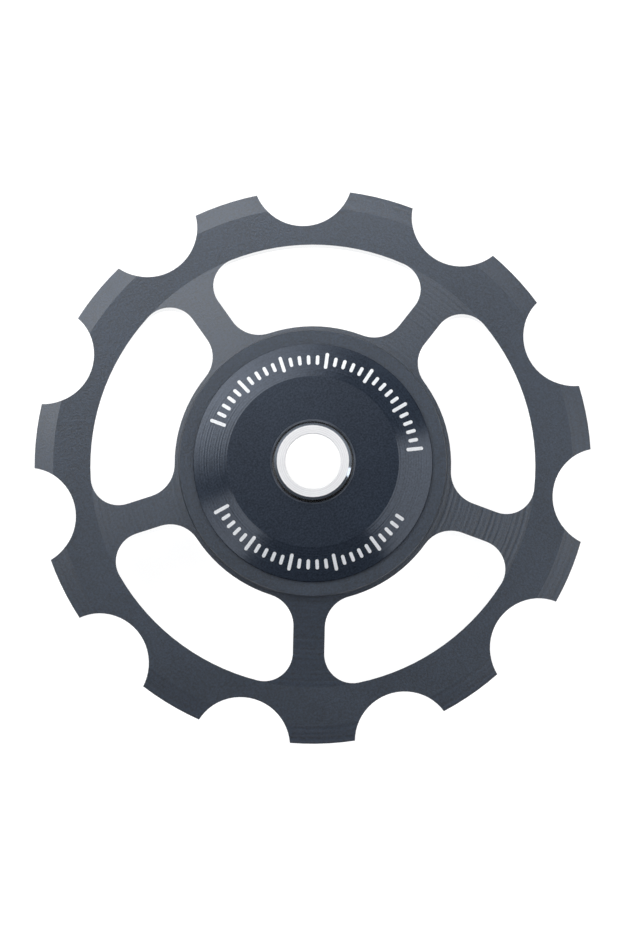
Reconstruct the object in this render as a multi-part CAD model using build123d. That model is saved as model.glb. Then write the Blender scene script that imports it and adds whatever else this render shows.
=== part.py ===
from build123d import *
import os
from math import hypot, pi, sin

# Eleven-tooth derailleur jockey wheel on a sealed ball bearing, with two dust covers and an axle sleeve.
# Millimetres. +Z is the axle and z = 0 the middle plane of the teeth. +Y runs along the one spoke that
# points at a tooth gap, so the wheel is its own mirror image across the YZ plane.

# Teeth
tooth_count = 11
chain_pitch = 12.7  # from one chain roller to the next
roller_seat_radius = 3.84  # round bottom of a tooth gap, where a roller sits
tooth_height = 2.88  # from the bottom of a gap to the tip
rim_thickness = 2.0  # flat sides of the rim and the teeth
tip_thickness = 1.1
tip_bevel_width = 1.45  # along the radius, on each side of a tooth

# Spokes and the windows between them
spoke_count = 5
spoke_width = 2.43
spoke_root_thickness = 5.0  # at the hub, from where the spokes taper to the rim
rim_wall = 1.47  # from a window to the bottom of a tooth gap
outer_corner_radius = 2.2  # window corners at the rim
inner_corner_radius = 2.5  # window corners at the hub

# Hub
hub_wall = 1.06  # raised ring around each cover
hub_draft = 0.1  # how far the raised ring spreads towards its foot
hub_ledge = 0.29  # from the foot of the raised ring to a window
cover_recess = 0.5  # depth of the raised ring above the bearing's face

# Bearing
bearing_bore = 6.0
bearing_outside = 15.0
bearing_width = 5.0
ring_chamfer = 0.2
seat_fit = 0.01  # hub seat around the outer ring
ball_count = 7
ball_diameter = 2.381
race_clearance = 0.03  # between a ball and its grooves
groove_depth = 0.32  # grooves in the two rings

# Seals
seal_thickness = 0.35
seal_inset = 0.12  # from the bearing's face
seal_bead = 0.28  # how far a seal reaches into the outer ring
seal_fit = 0.02
seal_lip_gap = 0.05  # between a seal's lip and the inner ring
seal_step = 0.3  # lower track on the inner ring, under the lip

# Ball cage
cage_gap = 0.15  # between the cage and each ring
cage_floor = 0.22  # under a pocket
cage_prong_height = 0.55  # above the middle of the balls, so that the prongs hold them
pocket_clearance = 0.08
notch_width = 1.0  # between the prongs of two neighbouring pockets
notch_floor = -0.5

# Axle sleeve
sleeve_bore = 4.25
sleeve_fit = 0.01  # in the inner ring
sleeve_stand = 0.4  # past the face of each cover
sleeve_chamfer = 0.2
sleeve_bore_chamfer = 0.06

# Dust covers
cover_overlap = 1.72  # past the outside of the bearing
cover_fit = 0.02  # inside the hub's raised ring
cover_thickness = 1.45
cover_edge = 0.65  # thickness at the rim
cover_foot_width = 2.3  # ring at the rim that stands on the hub and on the bearing's outer ring
cover_relief = 0.2  # running gap inside the foot, above the bearing's inner ring
cover_cone_width = 2.58
cover_running_gap = 0.16  # around the sleeve
cover_hole_chamfer = 0.14

# Radii that follow from the sizes above
pitch_radius = chain_pitch / (2 * sin(pi / tooth_count))
root_radius = pitch_radius - roller_seat_radius
tip_radius = root_radius + tooth_height
window_outer_radius = root_radius - rim_wall
cover_radius = bearing_outside / 2 + cover_overlap
recess_radius = cover_radius + cover_fit
hub_radius = recess_radius + hub_wall
hub_foot_radius = hub_radius + hub_draft
window_inner_radius = hub_foot_radius + hub_ledge
ball_radius = ball_diameter / 2
ball_circle_radius = (bearing_bore + bearing_outside) / 4
groove_radius = ball_radius + race_clearance
land_offset = groove_radius - groove_depth
inner_land_radius = ball_circle_radius - land_offset
outer_land_radius = ball_circle_radius + land_offset
seal_track_radius = inner_land_radius - seal_step
sleeve_radius = bearing_bore / 2 - sleeve_fit
cover_hole_radius = sleeve_radius + cover_running_gap

# Heights that follow from the sizes above
bearing_half = bearing_width / 2
hub_half = bearing_half + cover_recess
seal_top = bearing_half - seal_inset
seal_bottom = seal_top - seal_thickness
cover_top = bearing_half + cover_thickness
sleeve_half = cover_top + sleeve_stand

start_angle = 90  # first spoke, tooth gap and ball, on +Y


def turned(section):
    """Solid of revolution about Z from the (radius, z) corners of its section."""
    return revolve(Plane.XZ * Polygon(*section, align=None), Axis.Z)


def both_sides(half_section):
    """Whole section of a piece that is the same above and below z = 0, from its upper corners."""
    return half_section + [(radius, -z) for radius, z in reversed(half_section)]


def from_axis(vertex):
    """Distance of a sketch's corner from the wheel's axis."""
    return hypot(vertex.X, vertex.Y)


def window_sketch():
    """The openings between the spokes: a ring less the spokes, with rounded corners."""
    ring = Circle(window_outer_radius) - Circle(window_inner_radius)
    bar = Rectangle(window_outer_radius, spoke_width, align=(Align.MIN, Align.CENTER))
    windows = ring - [Rot(0, 0, start_angle + 360 / spoke_count * k) * bar for k in range(spoke_count)]
    corner_limit = 0.45 * (window_outer_radius - window_inner_radius)
    corners = 2 * spoke_count
    hub_corners = sorted(windows.vertices(), key=from_axis)[:corners]
    windows = fillet(hub_corners, min(inner_corner_radius, corner_limit))
    rim_corners = sorted(windows.vertices(), key=from_axis)[-corners:]
    return fillet(rim_corners, min(outer_corner_radius, corner_limit))


def toothed_wheel():
    """The one-piece wheel: turned blank, then the tooth gaps and the windows cut through it."""
    seat_radius = bearing_outside / 2 + seat_fit
    blank = turned(
        both_sides(
            [
                (seat_radius, bearing_half),
                (recess_radius, bearing_half),
                (recess_radius, hub_half),
                (hub_radius, hub_half),
                (hub_foot_radius, spoke_root_thickness / 2),
                (window_outer_radius, rim_thickness / 2),
                (tip_radius - tip_bevel_width, rim_thickness / 2),
                (tip_radius, tip_thickness / 2),
            ]
        )
    )
    gap = Cylinder(roller_seat_radius, 2 * hub_half)
    gaps = [place * gap for place in PolarLocations(pitch_radius, tooth_count, start_angle)]
    windows = extrude(window_sketch(), hub_half, both=True)
    return blank - gaps - windows


def outer_ring():
    """Bearing ring pressed into the hub, with a ball groove and two seal grooves."""
    outside = bearing_outside / 2
    seal_groove = outer_land_radius + seal_bead
    ring = turned(
        both_sides(
            [
                (outer_land_radius, seal_bottom - seal_fit),
                (seal_groove, seal_bottom - seal_fit),
                (seal_groove, seal_top + seal_fit),
                (outer_land_radius, seal_top + seal_fit),
                (outer_land_radius, bearing_half),
                (outside - ring_chamfer, bearing_half),
                (outside, bearing_half - ring_chamfer),
            ]
        )
    )
    return ring - Torus(ball_circle_radius, groove_radius)


def inner_ring():
    """Bearing ring on the sleeve, with a ball groove and a lower track under each seal lip."""
    bore = bearing_bore / 2
    ring = turned(
        both_sides(
            [
                (bore, bearing_half - ring_chamfer),
                (bore + ring_chamfer, bearing_half),
                (seal_track_radius, bearing_half),
                (seal_track_radius, seal_bottom - seal_lip_gap),
                (inner_land_radius, seal_bottom - seal_lip_gap),
            ]
        )
    )
    return ring - Torus(ball_circle_radius, groove_radius)


def seal():
    """Rubber shield of the upper side: its bead is in the outer ring, its lip runs over the inner ring."""
    lip = seal_track_radius + seal_lip_gap
    bead = outer_land_radius + seal_bead - seal_fit
    return turned([(lip, seal_bottom), (bead, seal_bottom), (bead, seal_top), (lip, seal_top)])


def ball_places():
    """Where the balls sit around the bearing."""
    return PolarLocations(ball_circle_radius, ball_count, start_angle)


def ball_cage():
    """Crown cage: a ring with a round pocket for each ball, open at the top between two prongs."""
    inside = inner_land_radius + cage_gap
    outside = outer_land_radius - cage_gap
    pocket_radius = ball_radius + pocket_clearance
    bottom = -pocket_radius - cage_floor
    top = cage_prong_height
    ring = turned([(inside, bottom), (outside, bottom), (outside, top), (inside, top)])
    pockets = [place * Sphere(pocket_radius) for place in ball_places()]
    notch_height = 2 * top - notch_floor
    notch = Pos(ball_circle_radius, 0, notch_floor + notch_height / 2) * Box(
        2 * (outside - inside), notch_width, notch_height
    )
    notches = [Rot(0, 0, start_angle + 360 / ball_count * (k + 0.5)) * notch for k in range(ball_count)]
    return ring - pockets - notches


def axle_sleeve():
    """Steel sleeve between the bearing and the bolt, proud of both covers."""
    bore = sleeve_bore / 2
    return turned(
        both_sides(
            [
                (bore, sleeve_half - sleeve_bore_chamfer),
                (bore + sleeve_bore_chamfer, sleeve_half),
                (sleeve_radius - sleeve_chamfer, sleeve_half),
                (sleeve_radius, sleeve_half - sleeve_chamfer),
            ]
        )
    )


def cover():
    """Dust cover of the upper side: flat face, cone, foot pressed into the hub, hole clear of the sleeve."""
    foot_radius = cover_radius - cover_foot_width
    ceiling = bearing_half + cover_relief
    return turned(
        [
            (cover_hole_radius, ceiling),
            (foot_radius, ceiling),
            (foot_radius, bearing_half),
            (cover_radius, bearing_half),
            (cover_radius, bearing_half + cover_edge),
            (cover_radius - cover_cone_width, cover_top),
            (cover_hole_radius + cover_hole_chamfer, cover_top),
            (cover_hole_radius, cover_top - cover_hole_chamfer),
        ]
    )


def underside(piece):
    """The same piece on the far side of the wheel."""
    return mirror(piece, about=Plane.XY)


nodes = {
    "toothed_wheel": toothed_wheel(),
    "front_cover": cover(),
    "rear_cover": underside(cover()),
    "axle_sleeve": axle_sleeve(),
    "bearing_outer_ring": outer_ring(),
    "bearing_inner_ring": inner_ring(),
    "front_seal": seal(),
    "rear_seal": underside(seal()),
    "ball_cage": ball_cage(),
}
for number, place in enumerate(ball_places(), start=1):
    nodes[f"ball_{number}"] = place * Sphere(ball_radius)

os.makedirs("parts", exist_ok=True)
for name, piece in nodes.items():
    export_step(piece, f"parts/{name}.step")
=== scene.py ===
"""Looks of an eleven-tooth derailleur jockey wheel: finishes of the solids, index marks, lamps and camera.

Sizes are written in millimetres and angles in degrees. +Z is the axle and the front cover's side.
"""

import logging
from dataclasses import dataclass
from enum import Enum
from math import atan2, cos, pi, radians, sin
from typing import Any, Optional

import bpy
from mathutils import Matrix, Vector


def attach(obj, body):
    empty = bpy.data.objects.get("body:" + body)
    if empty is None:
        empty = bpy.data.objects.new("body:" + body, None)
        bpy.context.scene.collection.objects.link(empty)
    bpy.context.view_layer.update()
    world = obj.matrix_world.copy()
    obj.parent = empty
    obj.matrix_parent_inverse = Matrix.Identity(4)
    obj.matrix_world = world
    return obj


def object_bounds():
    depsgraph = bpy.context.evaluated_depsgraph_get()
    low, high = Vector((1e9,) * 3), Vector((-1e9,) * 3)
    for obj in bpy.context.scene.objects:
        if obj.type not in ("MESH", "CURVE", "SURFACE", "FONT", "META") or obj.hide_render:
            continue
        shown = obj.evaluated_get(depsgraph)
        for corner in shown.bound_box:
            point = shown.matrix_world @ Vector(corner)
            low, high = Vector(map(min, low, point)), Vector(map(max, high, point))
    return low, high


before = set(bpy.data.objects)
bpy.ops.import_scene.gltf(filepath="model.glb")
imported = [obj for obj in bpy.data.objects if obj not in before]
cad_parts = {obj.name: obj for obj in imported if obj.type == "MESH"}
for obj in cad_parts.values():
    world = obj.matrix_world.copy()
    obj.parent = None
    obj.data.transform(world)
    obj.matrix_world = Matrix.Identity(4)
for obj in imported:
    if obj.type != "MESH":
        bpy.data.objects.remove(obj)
solid_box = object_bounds()

log = logging.getLogger("jockey_wheel")

MM = 0.001  # in metres
Socket = bpy.types.NodeSocket
Colour = tuple[float, float, float]
Edges = tuple[float, float]  # the values at which a mask is 0 and 1
WHITE: Colour = (1.0, 1.0, 1.0)

# Masks of the node groups
NOISE_EDGES: Edges = (0.3, 0.7)
WALL_EDGES: Edges = (0.15, 0.05)  # these three are shares of a surface's normal along the axle
STEEP_EDGES: Edges = (0.93, 0.78)
TAPER_EDGES: Edges = (0.995, 0.98)
NO_RING = 0.5  # value of the rings between a ridge and a groove
WAVE_SHARE = 0.35  # of the even wave in the uneven rings
WAVE_FADE = 180.0  # how often per metre the even wave comes and goes

# What all finishes of a kind share
PATCH_TONE = 0.12  # how far a patch takes a machined colour towards the pale one
WALL_RELIEF = 0.1  # what polishing leaves of the rings and the grain
COAT_ROUGHNESS = 0.03
COAT_IOR = 1.35
MOULDED_PATCH = 3.0  # size of the patches on a moulded piece
MOULDED_SWING = 0.15  # by how much of itself a moulded roughness varies


class Polish(Enum):
    """Which surfaces of a piece are smoother than its end faces, by the mask that marks them."""

    WALLS = "Wall"
    WALLS_AND_RIMS = "Rim"


class Turning(Enum):
    """Where the lathe's rings show on a piece."""

    ALL_OVER = 1
    TAPERS = 2


class Slope(Enum):
    """How a mask goes from 0 to 1, by Blender's name."""

    STRAIGHT = "LINEAR"
    SMOOTH = "SMOOTHSTEP"


class Stroke(Enum):
    """Lengths of an index mark along the cone."""

    LONG = 1.36
    SHORT = 0.80


def rgba(colour: Colour) -> tuple[float, float, float, float]:
    """A colour with full alpha."""
    return (*colour, 1.0)


class Graph:
    """Short way to add and wire nodes in one node tree."""

    def __init__(self, tree: bpy.types.NodeTree) -> None:
        """Keep the tree that the nodes go to."""
        self.tree = tree

    def link(self, source: Socket, target: Socket) -> None:
        """Wire an output to an input."""
        self.tree.links.new(source, target)

    def node(self, kind: str, inputs: Optional[dict[Any, Any]] = None, **settings: Any) -> bpy.types.Node:
        """Add a node and fill its inputs.

        Args:
            kind: Blender's name of the node type.
            inputs: Input name or number, with a value or with a socket to link from.
            settings: Properties of the node itself.

        Returns:
            The new node.
        """
        made = self.tree.nodes.new(kind)
        for name, value in settings.items():
            setattr(made, name, value)
        for key, value in (inputs or {}).items():
            if isinstance(value, Socket):
                self.link(value, made.inputs[key])
            else:
                made.inputs[key].default_value = value
        return made

    def group(self, tree: bpy.types.NodeTree, **inputs: Any) -> Any:
        """Place a node group.

        Args:
            tree: The group.
            inputs: Values or sockets for its inputs, by name.

        Returns:
            The group's outputs.
        """
        return self.node("ShaderNodeGroup", inputs, node_tree=tree).outputs

    def math(self, operation: str, *values: Any) -> Socket:
        """Add a Math node.

        Args:
            operation: Name of the operation, such as MULTIPLY.
            values: Numbers or sockets for its inputs, in order.

        Returns:
            The node's output.
        """
        return self.node("ShaderNodeMath", dict(enumerate(values)), operation=operation).outputs[0]

    def vector(self, operation: str, first: Any, second: Any) -> bpy.types.Node:
        """Add a Vector Math node.

        Args:
            operation: Name of the operation, such as DISTANCE.
            first: Vector or socket of its first input.
            second: Vector or socket of its second input.

        Returns:
            The new node.
        """
        return self.node("ShaderNodeVectorMath", {0: first, 1: second}, operation=operation)

    def blend(self, factor: Any, first: Any, second: Any) -> Socket:
        """Mix two colours.

        Args:
            factor: Share of the second colour.
            first: Colour or socket at factor 0.
            second: Colour or socket at factor 1.

        Returns:
            The mixed colour.
        """
        return self.node("ShaderNodeMix", {0: factor, 6: first, 7: second}, data_type="RGBA").outputs[2]

    def span(self, value: Socket, low: float, high: float) -> Socket:
        """Spread a value between 0 and 1 over another range.

        Args:
            value: The value to spread.
            low: Result at 0.
            high: Result at 1.

        Returns:
            The spread value.
        """
        return self.math("MULTIPLY_ADD", value, high - low, low)

    def mask(self, value: Socket, edges: Edges, slope: Slope = Slope.STRAIGHT) -> Socket:
        """Turn a value into a mask.

        Args:
            value: The value to read.
            edges: Where the mask is 0 and where it is 1.
            slope: The way between them.

        Returns:
            The mask, held between 0 and 1.
        """
        dark, bright = edges
        made = self.node(
            "ShaderNodeMapRange",
            {0: value, 1: dark, 2: bright},
            interpolation_type=slope.value,
            clamp=True,
        )
        return made.outputs[0]

    def average(self, first: Socket, second: Socket) -> Socket:
        """The middle of two values."""
        return self.math("MULTIPLY", self.math("ADD", first, second), 0.5)

    def relief(self, height: Socket) -> Socket:
        """A normal that follows a height in metres."""
        return self.node("ShaderNodeBump", {"Strength": 1.0, "Distance": 1.0, "Height": height}).outputs[0]


def new_material(name: str) -> tuple[bpy.types.Material, Graph, Any]:
    """Start a material.

    Args:
        name: The material's name.

    Returns:
        The material, its graph and its shader's inputs.
    """
    made = bpy.data.materials.new(name)
    made.use_nodes = True
    return made, Graph(made.node_tree), made.node_tree.nodes["Principled BSDF"].inputs


class Effects:
    """Surface effects that several finishes share, each one a node group."""

    def __init__(self) -> None:
        """Build the groups once."""
        self.turning = self._turning()
        self.grain = self._grain()
        self.smudge = self._smudge()
        self.walls = self._walls()

    @staticmethod
    def _new(name: str, inputs: dict[str, str], outputs: tuple[str, ...]) -> tuple[Graph, Any, Any]:
        """Start a group.

        Args:
            name: The group's name.
            inputs: Names of its inputs, with their socket types.
            outputs: Names of its outputs, which are all numbers.

        Returns:
            The group's graph, the sockets that come in and those that go out.
        """
        tree = bpy.data.node_groups.new(name, "ShaderNodeTree")
        for label, kind in inputs.items():
            tree.interface.new_socket(name=label, in_out="INPUT", socket_type=kind)
        for label in outputs:
            tree.interface.new_socket(name=label, in_out="OUTPUT", socket_type="NodeSocketFloat")
        graph = Graph(tree)
        return graph, graph.node("NodeGroupInput").outputs, graph.node("NodeGroupOutput").inputs

    def _turning(self) -> bpy.types.NodeTree:
        """Rings that a lathe tool leaves round the axle, uneven in depth and fading round the turn.

        Returns:
            Group with Vector, Pitch (mm) and Lean in, and Rings (0 to 1) out. Lean is how much the rings
            lose on the +Y side and gain on the other: painted shading, standing in for ridges that the
            lamps show less where their light falls head-on.
        """
        graph, given, out = self._new(
            "turning_rings",
            {"Vector": "NodeSocketVector", "Pitch": "NodeSocketFloat", "Lean": "NodeSocketFloat"},
            ("Rings",),
        )
        x, y, _ = graph.node("ShaderNodeSeparateXYZ", {0: given["Vector"]}).outputs
        squares = graph.math("ADD", graph.math("POWER", x, 2.0), graph.math("POWER", y, 2.0))
        reach = graph.math("SQRT", squares)
        radius = graph.math("MULTIPLY", reach, 1.0 / MM)
        place = graph.math("DIVIDE", radius, given["Pitch"])
        coarse = graph.node(
            "ShaderNodeTexNoise",
            {"W": place, "Scale": 1.0, "Detail": 2.0, "Roughness": 0.6},
            noise_dimensions="1D",
        ).outputs[0]
        wave = graph.math("SINE", graph.math("MULTIPLY", place, 2 * pi))
        fade = graph.node(
            "ShaderNodeTexNoise", {"Vector": given["Vector"], "Scale": WAVE_FADE, "Detail": 1.0}
        ).outputs[0]
        even = graph.math("MULTIPLY", wave, graph.math("MULTIPLY", fade, WAVE_SHARE))
        depth = graph.math("ADD", graph.math("SUBTRACT", coarse, NO_RING), even)
        # Rings fade on the +Y side and grow on the other: painted shading for ridges the lamps show less
        # there.
        upward = graph.math("DIVIDE", y, reach)
        share = graph.math("SUBTRACT", 1.0, graph.math("MULTIPLY", upward, given["Lean"]))
        graph.link(graph.math("MULTIPLY_ADD", depth, share, NO_RING), out["Rings"])
        return graph.tree

    def _grain(self) -> bpy.types.NodeTree:
        """Fine grain of a blasted or etched surface.

        Returns:
            Group with Vector and Size (mm) in, and Grain (0 to 1) out.
        """
        graph, given, out = self._new(
            "etched_grain", {"Vector": "NodeSocketVector", "Size": "NodeSocketFloat"}, ("Grain",)
        )
        scale = graph.math("DIVIDE", 1.0 / MM, given["Size"])
        noise = graph.node(
            "ShaderNodeTexNoise",
            {"Vector": given["Vector"], "Scale": scale, "Detail": 2.0, "Roughness": 0.65},
        )
        graph.link(graph.mask(noise.outputs[0], NOISE_EDGES), out["Grain"])
        return graph.tree

    def _smudge(self) -> bpy.types.NodeTree:
        """Broad, faint patches from dyeing and handling.

        Returns:
            Group with Vector and Size (mm) in, and Smudge (0 to 1) out.
        """
        graph, given, out = self._new(
            "dye_patches", {"Vector": "NodeSocketVector", "Size": "NodeSocketFloat"}, ("Smudge",)
        )
        scale = graph.math("DIVIDE", 1.0 / MM, given["Size"])
        noise = graph.node(
            "ShaderNodeTexNoise",
            {"Vector": given["Vector"], "Scale": scale, "Detail": 3.0, "Distortion": 0.4},
        )
        graph.link(graph.mask(noise.outputs[0], NOISE_EDGES), out["Smudge"])
        return graph.tree

    def _walls(self) -> bpy.types.NodeTree:
        """Which way a surface lies: along the axle, as walls of windows, gaps and bores do, or tapered.

        Returns:
            Group with Vector and Normal in. Out, from 0 on the flat ends to 1, come Wall on the walls,
            Bevel on steep bevels that look away from the axle, Rim on both, Throat on bevels that look
            at the axle, and Taper on all but the flat ends.
        """
        graph, given, out = self._new(
            "cut_walls",
            {"Vector": "NodeSocketVector", "Normal": "NodeSocketVector"},
            ("Wall", "Bevel", "Rim", "Throat", "Taper"),
        )
        along = graph.node("ShaderNodeSeparateXYZ", {0: given["Normal"]}).outputs[2]
        lean = graph.math("ABSOLUTE", along)
        wall = graph.mask(lean, WALL_EDGES)
        steep = graph.math("SUBTRACT", graph.mask(lean, STEEP_EDGES), wall)
        outward = graph.vector("MULTIPLY", given["Vector"], (1.0, 1.0, 0.0)).outputs[0]
        away = graph.vector("DOT_PRODUCT", outward, given["Normal"]).outputs["Value"]
        bevel = graph.math("MULTIPLY", steep, graph.math("GREATER_THAN", away, 0.0))
        graph.link(wall, out["Wall"])
        graph.link(bevel, out["Bevel"])
        graph.link(graph.math("ADD", wall, bevel), out["Rim"])
        graph.link(graph.math("SUBTRACT", steep, bevel), out["Throat"])
        graph.link(graph.mask(lean, TAPER_EDGES), out["Taper"])
        return graph.tree


@dataclass(frozen=True)
class Marks:
    """What a machined surface shows from place to place, as sockets from 0 to 1."""

    ring: Socket
    grain: Socket
    patch: Socket
    wall: Socket
    bevel: Socket
    throat: Socket
    polished: Socket


@dataclass(frozen=True)
class MachinedFinish:
    """A turned or milled surface: rings round the axle, fine grain and faint patches over one colour.

    A tone says how far a mark takes the colour towards the pale one. Walls, bevels that look away from the
    axle and throats, the bevels that look at it, have values of their own. The bevels' colour is painted
    shading; the throats' colour is a painted highlight, on the covers partly worn anodising.
    """

    name: str
    colour: Colour
    pale: Colour
    # Colour of bevels that look away from the axle: painted light and shade.
    bevel_shading_colour: Colour
    # Colour of the throats, in patches: painted highlight, on the covers partly worn anodising.
    throat_wear_and_highlight: Colour
    roughness: float
    roughness_spread: float
    metallic: float
    bevel_metallic: float
    ior: float
    turning: Turning
    ring_pitch: float
    ring_depth: float
    ring_tone: float
    grain_size: float
    grain_depth: float
    grain_tone: float
    patch_size: float
    polish: Polish
    wall_roughness: float
    wall_metallic: float
    # Share by which the rings fade on the +Y side: painted shading.
    ring_shade_lean: float = 0.0
    wall_coat: float = 0.0

    def material(self, effects: Effects) -> bpy.types.Material:
        """Build the material.

        Args:
            effects: The shared node groups.

        Returns:
            The finished material.
        """
        made, graph, shader = new_material(self.name)
        marks = self._marks(graph, effects)
        graph.link(self._colour(graph, marks), shader["Base Color"])
        graph.link(self._roughness(graph, marks), shader["Roughness"])
        graph.link(self._metallic(graph, marks), shader["Metallic"])
        graph.link(self._normal(graph, marks), shader["Normal"])
        if self.wall_coat:
            graph.link(graph.math("MULTIPLY", marks.polished, self.wall_coat), shader["Coat Weight"])
            shader["Coat Roughness"].default_value = COAT_ROUGHNESS
            shader["Coat IOR"].default_value = COAT_IOR
        shader["IOR"].default_value = self.ior
        return made

    def _marks(self, graph: Graph, effects: Effects) -> Marks:
        """Place the shared effects at this finish's sizes.

        Args:
            graph: The material's graph.
            effects: The shared node groups.

        Returns:
            The marks of the surface.
        """
        surface = graph.node("ShaderNodeTexCoord").outputs
        place = surface["Object"]
        walls = graph.group(effects.walls, Vector=place, Normal=surface["Normal"])
        turned = graph.group(effects.turning, Vector=place, Pitch=self.ring_pitch, Lean=self.ring_shade_lean)
        ring = turned["Rings"]
        if self.turning is Turning.TAPERS:
            above = graph.math("SUBTRACT", ring, NO_RING)
            ring = graph.math("MULTIPLY_ADD", above, walls["Taper"], NO_RING)
        return Marks(
            ring=ring,
            grain=graph.group(effects.grain, Vector=place, Size=self.grain_size)["Grain"],
            patch=graph.group(effects.smudge, Vector=place, Size=self.patch_size)["Smudge"],
            wall=walls["Wall"],
            bevel=walls["Bevel"],
            throat=walls["Throat"],
            polished=walls[self.polish.value],
        )

    def _colour(self, graph: Graph, marks: Marks) -> Socket:
        """Colour of the faces, with painted shading on the bevels, and in patches on the throats a painted
        highlight that on the covers is partly worn anodising.

        Args:
            graph: The material's graph.
            marks: The marks of the surface.

        Returns:
            The colour.
        """
        tone = graph.math("MULTIPLY", marks.ring, self.ring_tone)
        tone = graph.math("MULTIPLY_ADD", marks.grain, self.grain_tone, tone)
        tone = graph.math("MULTIPLY_ADD", marks.patch, PATCH_TONE, tone)
        face = graph.blend(tone, rgba(self.colour), rgba(self.pale))
        # Bevels take their own colour: painted shading, paler on the wheel's hub foot and darker on the
        # sleeve's chamfer.
        bevel_shaded = graph.blend(marks.bevel, face, rgba(self.bevel_shading_colour))
        # Throats take a pale colour in patches: painted highlight, on the covers partly worn anodising.
        wear_and_highlight = graph.math("MULTIPLY", marks.throat, marks.patch)
        return graph.blend(wear_and_highlight, bevel_shaded, rgba(self.throat_wear_and_highlight))

    def _roughness(self, graph: Graph, marks: Marks) -> Socket:
        """Roughness of the faces, uneven by patches and grain, and of what is polished.

        Args:
            graph: The material's graph.
            marks: The marks of the surface.

        Returns:
            The roughness.
        """
        low, high = self.roughness - self.roughness_spread, self.roughness + self.roughness_spread
        face = graph.span(graph.average(marks.patch, marks.grain), low, high)
        face = graph.math("MULTIPLY", face, graph.math("SUBTRACT", 1.0, marks.polished))
        return graph.math("MULTIPLY_ADD", marks.polished, self.wall_roughness, face)

    def _metallic(self, graph: Graph, marks: Marks) -> Socket:
        """How metallic the faces, walls and bevels are.

        Args:
            graph: The material's graph.
            marks: The marks of the surface.

        Returns:
            The value.
        """
        metal = graph.span(marks.wall, self.metallic, self.wall_metallic)
        return graph.math("MULTIPLY_ADD", marks.bevel, self.bevel_metallic - self.metallic, metal)

    def _normal(self, graph: Graph, marks: Marks) -> Socket:
        """Relief of the rings and the grain, weaker where polished.

        Args:
            graph: The material's graph.
            marks: The marks of the surface.

        Returns:
            The normal.
        """
        height = graph.math("MULTIPLY", marks.ring, self.ring_depth * MM)
        height = graph.math("MULTIPLY_ADD", marks.grain, self.grain_depth * MM, height)
        height = graph.math("MULTIPLY", height, graph.span(marks.polished, 1.0, WALL_RELIEF))
        return graph.relief(height)


@dataclass(frozen=True)
class MouldedFinish:
    """A moulded, sintered or printed surface: one colour with fine grain and faint patches."""

    name: str
    colour: Colour
    pale: Colour
    roughness: float
    ior: float
    grain_size: float
    grain_depth: float

    def material(self, effects: Effects) -> bpy.types.Material:
        """Build the material.

        Args:
            effects: The shared node groups.

        Returns:
            The finished material.
        """
        made, graph, shader = new_material(self.name)
        place = graph.node("ShaderNodeTexCoord").outputs["Object"]
        grain = graph.group(effects.grain, Vector=place, Size=self.grain_size)["Grain"]
        patch = graph.group(effects.smudge, Vector=place, Size=MOULDED_PATCH)["Smudge"]
        base = graph.blend(graph.average(grain, patch), rgba(self.colour), rgba(self.pale))
        graph.link(base, shader["Base Color"])
        swing = self.roughness * MOULDED_SWING
        graph.link(graph.span(patch, self.roughness - swing, self.roughness + swing), shader["Roughness"])
        graph.link(graph.relief(graph.math("MULTIPLY", grain, self.grain_depth * MM)), shader["Normal"])
        shader["IOR"].default_value = self.ior
        return made


def dress(nodes: tuple[str, ...], material: bpy.types.Material) -> None:
    """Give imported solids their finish.

    Args:
        nodes: Names of the solids.
        material: The finish.
    """
    for node in nodes:
        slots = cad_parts[node].data.materials
        slots.clear()
        slots.append(material)
        log.info("%s dressed with %s", node, material.name)


SATIN_ANODISING = MachinedFinish(
    name="anodised_wheel",
    colour=(0.0031, 0.0059, 0.0105),
    pale=(0.0246, 0.0457, 0.0807),
    # Far paler than the face: painted light on the hub ring's steep foot, lifting the shade there.
    bevel_shading_colour=(0.050, 0.060, 0.075),
    throat_wear_and_highlight=(0.050, 0.060, 0.075),
    roughness=0.50,
    roughness_spread=0.06,
    metallic=0.2,
    bevel_metallic=0.2,
    ior=1.88,
    turning=Turning.TAPERS,
    ring_pitch=0.40,
    ring_depth=0.021,
    ring_tone=0.22,
    # Rings weaker on the +Y side: painted shading where the light falls head-on.
    ring_shade_lean=0.85,
    grain_size=0.16,
    grain_depth=0.009,
    grain_tone=0.66,
    patch_size=7.0,
    polish=Polish.WALLS,
    wall_roughness=0.08,
    wall_metallic=0.85,
    wall_coat=1.0,
)
GLOSS_ANODISING = MachinedFinish(
    name="anodised_cover",
    colour=(0.0152, 0.0205, 0.0301),
    pale=(0.0460, 0.0620, 0.0909),
    bevel_shading_colour=(0.036, 0.049, 0.072),
    # Pale on the hole's chamfer: painted highlight of a rounded edge catching the lamps, partly worn
    # anodising.
    throat_wear_and_highlight=(0.26, 0.29, 0.34),
    roughness=0.157,
    roughness_spread=0.02,
    metallic=0.3,
    bevel_metallic=0.3,
    ior=1.49,
    turning=Turning.TAPERS,
    ring_pitch=0.20,
    ring_depth=0.004,
    ring_tone=0.25,
    grain_size=0.14,
    grain_depth=0.0008,
    grain_tone=0.63,
    patch_size=5.0,
    polish=Polish.WALLS,
    wall_roughness=0.16,
    wall_metallic=0.3,
)
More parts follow.
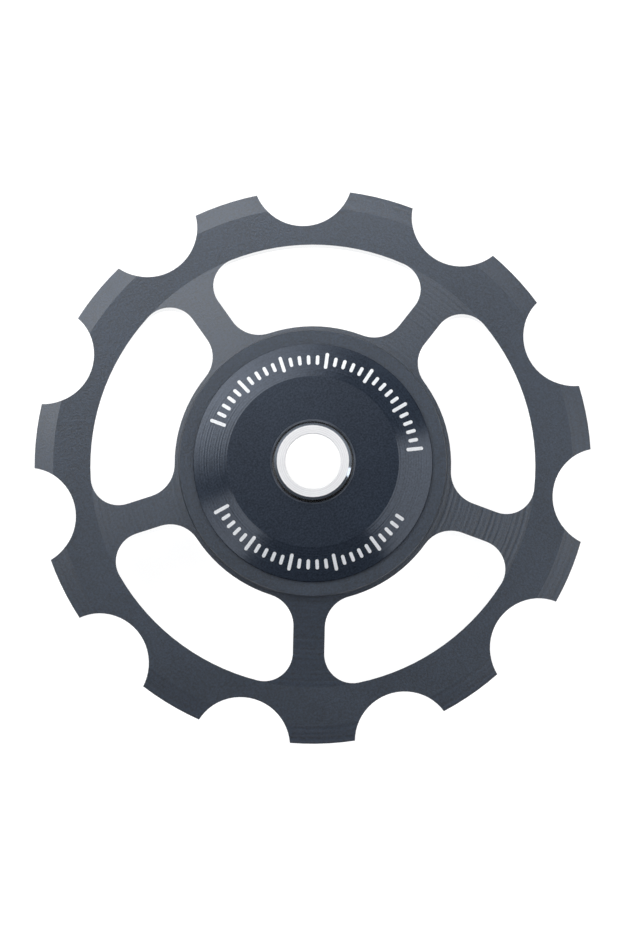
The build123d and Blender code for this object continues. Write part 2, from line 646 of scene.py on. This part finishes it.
TURNED_STEEL = MachinedFinish(
    name="sleeve_steel",
    # Near-white with little metal: the steel's pale tone, and painted reflection of the bright overhead
    # light that the end face mirrors.
    colour=(0.68, 0.68, 0.69),
    pale=(0.94, 0.94, 0.94),
    # Dark navy on the outer chamfer: painted shade of the gap round the sleeve.
    bevel_shading_colour=(0.165, 0.19, 0.225),
    # Near-white on the bore's chamfer: painted light over the shade line there.
    throat_wear_and_highlight=(0.95, 0.95, 0.95),
    roughness=0.46,
    roughness_spread=0.08,
    metallic=0.15,
    bevel_metallic=0.6,
    ior=1.5,
    turning=Turning.ALL_OVER,
    ring_pitch=0.14,
    ring_depth=0.002,
    ring_tone=0.8,
    grain_size=0.10,
    grain_depth=0.0008,
    grain_tone=0.2,
    patch_size=2.0,
    polish=Polish.WALLS_AND_RIMS,
    wall_roughness=0.12,
    wall_metallic=1.0,
)
GROUND_STEEL = MachinedFinish(
    name="bearing_steel",
    colour=(0.50, 0.51, 0.52),
    pale=(0.72, 0.72, 0.73),
    bevel_shading_colour=(0.66, 0.66, 0.67),
    throat_wear_and_highlight=(0.66, 0.66, 0.67),
    roughness=0.20,
    roughness_spread=0.05,
    metallic=1.0,
    bevel_metallic=1.0,
    ior=1.5,
    turning=Turning.ALL_OVER,
    ring_pitch=0.08,
    ring_depth=0.0008,
    ring_tone=0.4,
    grain_size=0.08,
    grain_depth=0.0005,
    grain_tone=0.2,
    patch_size=2.5,
    polish=Polish.WALLS,
    wall_roughness=0.14,
    wall_metallic=1.0,
)
SEAL_RUBBER = MouldedFinish(
    name="seal_rubber",
    colour=(0.020, 0.020, 0.022),
    pale=(0.040, 0.040, 0.042),
    roughness=0.62,
    ior=1.5,
    grain_size=0.12,
    grain_depth=0.004,
)
CAGE_NYLON = MouldedFinish(
    name="cage_nylon",
    colour=(0.62, 0.58, 0.48),
    pale=(0.74, 0.71, 0.62),
    roughness=0.48,
    ior=1.53,
    grain_size=0.20,
    grain_depth=0.003,
)
BALL_CERAMIC = MouldedFinish(
    name="ball_ceramic",
    colour=(0.80, 0.79, 0.75),
    pale=(0.88, 0.87, 0.84),
    roughness=0.10,
    ior=2.0,
    grain_size=0.30,
    grain_depth=0.0002,
)
MARK_WHITE = MouldedFinish(
    name="index_mark",
    colour=(0.66, 0.68, 0.70),
    pale=(0.90, 0.91, 0.92),
    roughness=0.55,
    ior=1.5,
    grain_size=0.07,
    grain_depth=0.004,
)


@dataclass
class ToothedWheel:
    """The one-piece wheel with its teeth, spokes and hub."""

    node: str = "toothed_wheel"

    def dress(self, effects: Effects) -> None:
        """Satin dark anodising over the whole wheel."""
        dress((self.node,), SATIN_ANODISING.material(effects))


@dataclass
class SealedBearing:
    """Rings, seals, cage and balls behind the covers."""

    rings: tuple[str, ...] = ("bearing_outer_ring", "bearing_inner_ring")
    seals: tuple[str, ...] = ("front_seal", "rear_seal")
    cage: str = "ball_cage"
    ball_count: int = 7

    def dress(self, effects: Effects) -> None:
        """Ground steel, black rubber, pale nylon and ceramic.

        Args:
            effects: The shared node groups.
        """
        balls = tuple(f"ball_{k + 1}" for k in range(self.ball_count))
        dress(self.rings, GROUND_STEEL.material(effects))
        dress(self.seals, SEAL_RUBBER.material(effects))
        dress((self.cage,), CAGE_NYLON.material(effects))
        dress(balls, BALL_CERAMIC.material(effects))


@dataclass
class AxleSleeve:
    """The steel sleeve in the middle."""

    node: str = "axle_sleeve"

    def dress(self, effects: Effects) -> None:
        """Bright turned steel."""
        dress((self.node,), TURNED_STEEL.material(effects))


@dataclass
class DustCovers:
    """The two turned covers, and the index marks on the cone of the front one.

    The cone runs from the flat face out and down to the rim. An arc is given by its first and last angle.
    """

    nodes: tuple[str, ...] = ("front_cover", "rear_cover")
    face_radius: float = 6.64
    face_height: float = 3.95
    rim_radius: float = 9.22
    rim_height: float = 3.15
    mark_radius: float = 7.93
    mark_width: float = 0.27
    mark_thickness: float = 0.024
    mark_rounding: float = 0.48  # radius of a mark's corners, as a share of its width
    mark_segments: int = 3
    mark_step: float = 5.0
    marks_per_long: int = 5
    mark_arcs: tuple[tuple[float, float], ...] = ((-27.3, 122.7), (172.7, 292.7))

    def dress(self, effects: Effects) -> None:
        """Dark glossy anodising on both covers."""
        dress(self.nodes, GLOSS_ANODISING.material(effects))

    def build_mark(self, stroke: Stroke) -> bpy.types.Object:
        """Model one round-ended mark on the cone, on +X.

        Args:
            stroke: How long the mark is.

        Returns:
            The mark, with its place in its mesh.
        """
        bpy.ops.object.select_all(action="DESELECT")
        bpy.ops.mesh.primitive_cube_add(size=1.0)
        mark = bpy.context.object
        mark.scale = (stroke.value * MM, self.mark_width * MM, self.mark_thickness * MM)
        bpy.ops.object.transform_apply(location=False, rotation=False, scale=True)
        bpy.ops.object.mode_set(mode="EDIT")
        bpy.ops.mesh.select_mode(type="EDGE")
        bpy.ops.mesh.select_all(action="DESELECT")
        bpy.ops.object.mode_set(mode="OBJECT")
        mesh = mark.data
        half = self.mark_thickness * MM / 2
        for edge in mesh.edges:
            first, second = (mesh.vertices[k].co for k in edge.vertices)
            edge.select = abs(first.z - second.z) > half
        bpy.ops.object.mode_set(mode="EDIT")
        rounding = self.mark_rounding * self.mark_width * MM
        bpy.ops.mesh.bevel(offset=rounding, segments=self.mark_segments, affect="EDGES")
        bpy.ops.object.mode_set(mode="OBJECT")
        drop = self.face_height - self.rim_height
        run = self.rim_radius - self.face_radius
        share = (self.mark_radius - self.face_radius) / run
        mark.rotation_euler = (0.0, atan2(drop, run), 0.0)
        mark.location = (self.mark_radius * MM, 0.0, (self.face_height - share * drop) * MM)
        bpy.ops.object.transform_apply(location=True, rotation=True, scale=True)
        return mark

    def build_marks(self, effects: Effects) -> bpy.types.Object:
        """Repeat the marks along both arcs and join them into one piece that turns with the wheel.

        Args:
            effects: The shared node groups.

        Returns:
            The piece.
        """
        patterns = {stroke: self.build_mark(stroke) for stroke in Stroke}
        copies = []
        for start, end in self.mark_arcs:
            for number in range(int((end - start) / self.mark_step) + 1):
                stroke = Stroke.SHORT if number % self.marks_per_long else Stroke.LONG
                bpy.ops.object.select_all(action="DESELECT")
                patterns[stroke].select_set(True)
                bpy.context.view_layer.objects.active = patterns[stroke]
                bpy.ops.object.duplicate(linked=False)
                copy = bpy.context.object
                copy.rotation_euler = (0.0, 0.0, radians(start + number * self.mark_step))
                bpy.ops.object.transform_apply(location=True, rotation=True, scale=True)
                copies.append(copy)
        bpy.ops.object.select_all(action="DESELECT")
        for pattern in patterns.values():
            bpy.data.objects.remove(pattern)
        for copy in copies:
            copy.select_set(True)
        bpy.context.view_layer.objects.active = copies[0]
        bpy.ops.object.join()
        marks = bpy.context.object
        marks.name = "front_index_marks"
        marks.data.materials.append(MARK_WHITE.material(effects))
        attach(marks, "wheel")
        log.info("%s: %d marks", marks.name, len(copies))
        return marks


@dataclass(frozen=True)
class SoftBox:
    """One studio lamp with a flat face, aimed at the wheel.

    Its turn is counted from the picture's right. Softness is the share of the way from the middle to the
    edges over which its light fades.
    """

    name: str
    turn: float
    elevation: float
    distance: float
    width: float
    height: float
    radiance: float
    softness: float
    tint: Colour = WHITE

    def soften(self, data: bpy.types.Light) -> None:
        """Let the light fade from the middle of the box to its edges, as behind a diffuser.

        Args:
            data: The lamp's data.
        """
        data.use_nodes = True
        graph = Graph(data.node_tree)
        across = graph.node("ShaderNodeNewGeometry").outputs["Parametric"]
        middle, edge = (0.5, 0.5, 0.0), 0.5
        off = graph.vector("DISTANCE", across, middle).outputs["Value"]
        fade = graph.mask(off, (edge, edge - edge * self.softness), Slope.SMOOTH)
        graph.link(fade, data.node_tree.nodes["Emission"].inputs["Strength"])

    def build(self, azimuth: float) -> bpy.types.Object:
        """Place the lamp.

        Args:
            azimuth: Turn of the picture's right from the wheel's +X.

        Returns:
            The lamp.
        """
        data = bpy.data.lights.new(self.name, "AREA")
        data.shape = "RECTANGLE"
        data.size = self.width * MM
        data.size_y = self.height * MM
        data.energy = self.radiance * pi * self.width * self.height * MM * MM
        data.color = self.tint
        if self.softness:
            self.soften(data)
        lamp = bpy.data.objects.new(self.name, data)
        bpy.context.scene.collection.objects.link(lamp)
        turn, lift = radians(self.turn + azimuth), radians(self.elevation)
        toward = Vector((cos(lift) * cos(turn), cos(lift) * sin(turn), sin(lift)))
        lamp.location = toward * self.distance * MM
        lamp.rotation_euler = (-toward).to_track_quat("-Z", "Y").to_euler()
        lamp.visible_camera = False
        log.info("lamp %s", self.name)
        return lamp


KEY_TOP = SoftBox(
    name="key_top",
    turn=111,
    elevation=48,
    distance=75,
    width=74,
    height=145,
    radiance=2.42,
    softness=1.0,
)
KEY_LEFT = SoftBox(
    name="key_left",
    turn=152,
    elevation=38,
    distance=73,
    width=126,
    height=56,
    radiance=5.45,
    softness=1.0,
)
STRIP_TOP = SoftBox(
    name="strip_top",
    turn=77,
    elevation=32,
    distance=39,
    width=110,
    height=15,
    radiance=4.4,
    softness=1.0,
)
PANEL_RIGHT = SoftBox(
    name="panel_right",
    turn=-11,
    elevation=43,
    distance=67,
    width=52,
    height=41,
    radiance=1.8,
    softness=0.0,
)
FILL_RIGHT = SoftBox(
    name="fill_right",
    turn=13,
    elevation=33,
    distance=42,
    width=24,
    height=34,
    radiance=0.95,
    softness=1.0,
)
PANEL_LOW = SoftBox(
    name="panel_low",
    turn=209,
    elevation=62,
    distance=700,
    width=236,
    height=176,
    radiance=2.05,
    softness=0.0,
)
FILL_LOW = SoftBox(
    name="fill_low",
    turn=267,
    elevation=38,
    distance=158,
    width=238,
    height=36,
    radiance=3.4,
    softness=1.0,
    tint=(0.97, 1.0, 1.15),
)
GLINT_RIGHT = SoftBox(
    name="glint_right",
    turn=-11.5,
    elevation=3.0,
    distance=80,
    width=20,
    height=10,
    radiance=8.0,
    softness=0.0,
)


@dataclass
class Studio:
    """Pale floor, lamps, world and camera.

    The floor's shown and mirrored values are its glow to the camera and in reflections. The world has a
    paler band, whose top and foot are sines of the elevation.
    """

    azimuth: float = -34.69
    elevation: float = 84.3
    distance: float = 650.0
    frame_height: float = 72.23
    sensor_width: float = 36.0
    aim_right: float = -0.183
    aim_up: float = 0.091
    floor_size: float = 6000.0
    floor_colour: Colour = (0.25, 0.25, 0.25)
    floor_roughness: float = 0.9
    floor_shown: float = 0.95
    floor_mirrored: float = 1.12
    world_colour: Colour = (0.95, 1.0, 1.12)
    world_light: float = 0.028
    band_top: Edges = (0.70, 0.40)
    band_foot: Edges = (0.12, 0.30)
    band_glow: float = 0.40
    lamps: tuple[SoftBox, ...] = (
        KEY_TOP,
        KEY_LEFT,
        STRIP_TOP,
        PANEL_RIGHT,
        FILL_RIGHT,
        PANEL_LOW,
        FILL_LOW,
        GLINT_RIGHT,
    )

    def light(self) -> None:
        """Add the lamps, and a faint world with a paler band."""
        for lamp in self.lamps:
            lamp.build(self.azimuth)
        world = bpy.data.worlds.new("studio")
        bpy.context.scene.world = world
        world.use_nodes = True
        graph = Graph(world.node_tree)
        toward = graph.node("ShaderNodeTexCoord").outputs["Generated"]
        height = graph.node("ShaderNodeSeparateXYZ", {0: toward}).outputs[2]
        below_top = graph.mask(height, self.band_top, Slope.SMOOTH)
        above_foot = graph.mask(height, self.band_foot, Slope.SMOOTH)
        band = graph.math("MULTIPLY", below_top, above_foot)
        light = graph.span(band, self.world_light, self.world_light + self.band_glow)
        background = world.node_tree.nodes["Background"].inputs
        background["Color"].default_value = rgba(self.world_colour)
        graph.link(light, background["Strength"])

    def floor(self) -> bpy.types.Object:
        """Lay the pale floor under the lowest point of the wheel.

        Returns:
            The floor.
        """
        bpy.ops.object.select_all(action="DESELECT")
        bpy.ops.mesh.primitive_plane_add(size=self.floor_size * MM, location=(0.0, 0.0, solid_box[0].z))
        floor = bpy.context.object
        floor.name = "floor"
        made, graph, shader = new_material("pale_floor")
        shader["Base Color"].default_value = rgba(self.floor_colour)
        shader["Roughness"].default_value = self.floor_roughness
        shader["Specular IOR Level"].default_value = 0.0
        shader["Emission Color"].default_value = rgba(WHITE)
        ray = graph.node("ShaderNodeLightPath").outputs
        shown = graph.math("MULTIPLY", ray["Is Camera Ray"], self.floor_shown)
        mirrored = graph.math("MAXIMUM", ray["Is Glossy Ray"], ray["Is Transmission Ray"])
        mirrored = graph.math("MULTIPLY", mirrored, self.floor_mirrored)
        graph.link(graph.math("MAXIMUM", shown, mirrored), shader["Emission Strength"])
        floor.data.materials.append(made)
        return floor

    def camera(self) -> bpy.types.Object:
        """Set up the camera at the photograph's angle.

        Returns:
            The camera.
        """
        data = bpy.data.cameras.new("camera")
        data.sensor_width = self.sensor_width
        data.lens = self.sensor_width * self.distance / self.frame_height
        camera = bpy.data.objects.new("camera", data)
        bpy.context.scene.collection.objects.link(camera)
        turn, lift = radians(self.azimuth), radians(self.elevation)
        back = Vector((sin(turn) * cos(lift), -cos(turn) * cos(lift), sin(lift)))
        facing = (-back).to_track_quat("-Z", "Y")
        aim = facing @ Vector((self.aim_right * MM, self.aim_up * MM, 0.0))
        camera.location = aim + back * self.distance * MM
        camera.rotation_euler = facing.to_euler()
        bpy.context.scene.camera = camera
        return camera


def main() -> None:
    """Dress the solids, add the marks and set up the studio."""
    logging.basicConfig(level=logging.INFO, format="%(name)s: %(message)s")
    bpy.context.scene.view_settings.view_transform = "Standard"
    effects = Effects()
    ToothedWheel().dress(effects)
    SealedBearing().dress(effects)
    AxleSleeve().dress(effects)
    covers = DustCovers()
    covers.dress(effects)
    covers.build_marks(effects)
    studio = Studio()
    studio.light()
    studio.floor()
    studio.camera()


if __name__ == "__main__":
    main()
